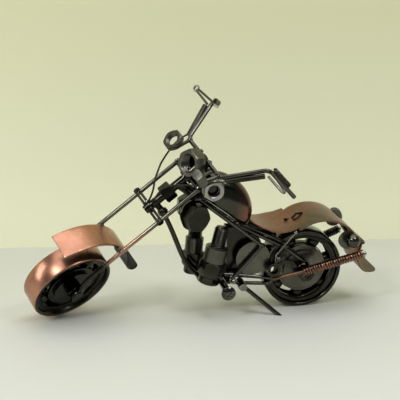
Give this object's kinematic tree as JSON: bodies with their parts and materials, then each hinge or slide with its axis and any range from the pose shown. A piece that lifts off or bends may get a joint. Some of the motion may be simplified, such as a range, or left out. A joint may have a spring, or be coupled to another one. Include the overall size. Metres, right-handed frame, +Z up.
{
  "type": "nuts-and-bolts motorcycle figurine",
  "caption": "Chopper motorcycle figurine welded from nuts, bolts, rods, springs and ball bearings, with turning wheels, steering fork and folding kickstand.",
  "frame": {"origin": "centre of the bounding box on the ground", "axes": "+X to the rear of the bike, -Y to the kickstand side, +Z up"},
  "size_m": [0.2474, 0.0888, 0.1569],
  "materials": {
    "black_nickel": "satin black-nickel plate",
    "polished_gunmetal": "polished black-nickel plate",
    "zinc_grey": "dull zinc grey",
    "copper_tone": "satin copper-tone plate over steel",
    "bright_steel": "bright steel",
    "tank_black": "polished black nickel"
  },
  "bodies": {
    "chassis": {"head_stud": "black_nickel", "head_nut": "black_nickel", "neck_sleeve": "black_nickel", "backbone_rods": "polished_gunmetal", "down_tubes": "black_nickel", "belly_plate": "black_nickel", "lower_rails": "polished_gunmetal", "rear_stays": "polished_gunmetal", "swingarm_straps": "black_nickel", "rear_axle": "black_nickel", "rear_hub": "zinc_grey", "rear_axle_nuts": "black_nickel", "pivot_nuts": "zinc_grey", "pivot_acorns": "zinc_grey", "crank_discs": "zinc_grey", "crank_shaft": "black_nickel", "cylinder_studs": "black_nickel", "cylinder_sleeves": "zinc_grey", "cylinder_nuts": "black_nickel", "cross_bolt": "black_nickel", "cross_washers": "zinc_grey", "side_nuts": "zinc_grey", "tank": "tank_black", "seat": "copper_tone", "seat_post": "black_nickel", "seat_clip": "black_nickel", "rear_fender": "copper_tone", "fender_stays": "bright_steel", "tail_lights": "polished_gunmetal", "tail_bar": "black_nickel", "tail_washers": "zinc_grey", "exhaust_pipes": "copper_tone", "exhaust_springs": "copper_tone", "exhaust_caps": "bright_steel", "foot_pegs": "polished_gunmetal", "peg_nuts": "bright_steel", "kickstand_pivot": "bright_steel"},
    "fork": {"fork_legs": "polished_gunmetal", "lower_yoke": "polished_gunmetal", "upper_yoke": "black_nickel", "headlight_nut": "zinc_grey", "headlight_body": "black_nickel", "signal_nuts": "zinc_grey", "handlebar": "polished_gunmetal", "bar_stem": "black_nickel", "brake_levers": "bright_steel", "hand_grips": "black_nickel", "cable_housings": "black_nickel", "brake_cables": "black_nickel", "front_fender": "copper_tone", "fender_bridge": "black_nickel", "front_axle": "black_nickel", "front_hub": "zinc_grey", "front_axle_nuts": "black_nickel"},
    "front_wheel": {"front_tyre": "copper_tone"},
    "front_cage": {"front_balls": "bright_steel"},
    "rear_wheel": {"rear_tyre": "polished_gunmetal"},
    "rear_cage": {"rear_balls": "bright_steel"},
    "kickstand": {"kickstand_leg": "polished_gunmetal"}
  },
  "joints": [
    {"name": "steering", "type": "hinge", "parent": "chassis", "child": "fork", "pos_m": [-0.03238, -0.00489, 0.08443], "axis": [0.7771, -0.0876, 0.6232], "range_deg": [-76, 1]},
    {"name": "front_wheel_spin", "type": "hinge", "parent": "fork", "child": "front_wheel", "pos_m": [-0.09438, 0.00782, 0.02794], "axis": [0.396, -0.7015, -0.5925], "continuous": true},
    {"name": "front_cage_spin", "type": "hinge", "parent": "fork", "child": "front_cage", "pos_m": [-0.09438, 0.00782, 0.02794], "axis": [0.396, -0.7015, -0.5925], "continuous": true},
    {"name": "rear_wheel_spin", "type": "hinge", "parent": "chassis", "child": "rear_wheel", "pos_m": [0.06902, 0.00281, 0.02963], "axis": [0, -0.9903, -0.1392], "continuous": true},
    {"name": "rear_cage_spin", "type": "hinge", "parent": "chassis", "child": "rear_cage", "pos_m": [0.06902, 0.00281, 0.02963], "axis": [0, -0.9903, -0.1392], "continuous": true},
    {"name": "kickstand_fold", "type": "hinge", "parent": "chassis", "child": "kickstand", "pos_m": [0.02352, -0.00863, 0.02124], "axis": [0, -0.9903, -0.1392], "range_deg": [0, 34]}
  ],
  "couplings": [
    {"joint": "front_cage_spin", "follows": "front_wheel_spin", "ratio": 0.6139},
    {"joint": "rear_cage_spin", "follows": "rear_wheel_spin", "ratio": 0.6139}
  ]
}
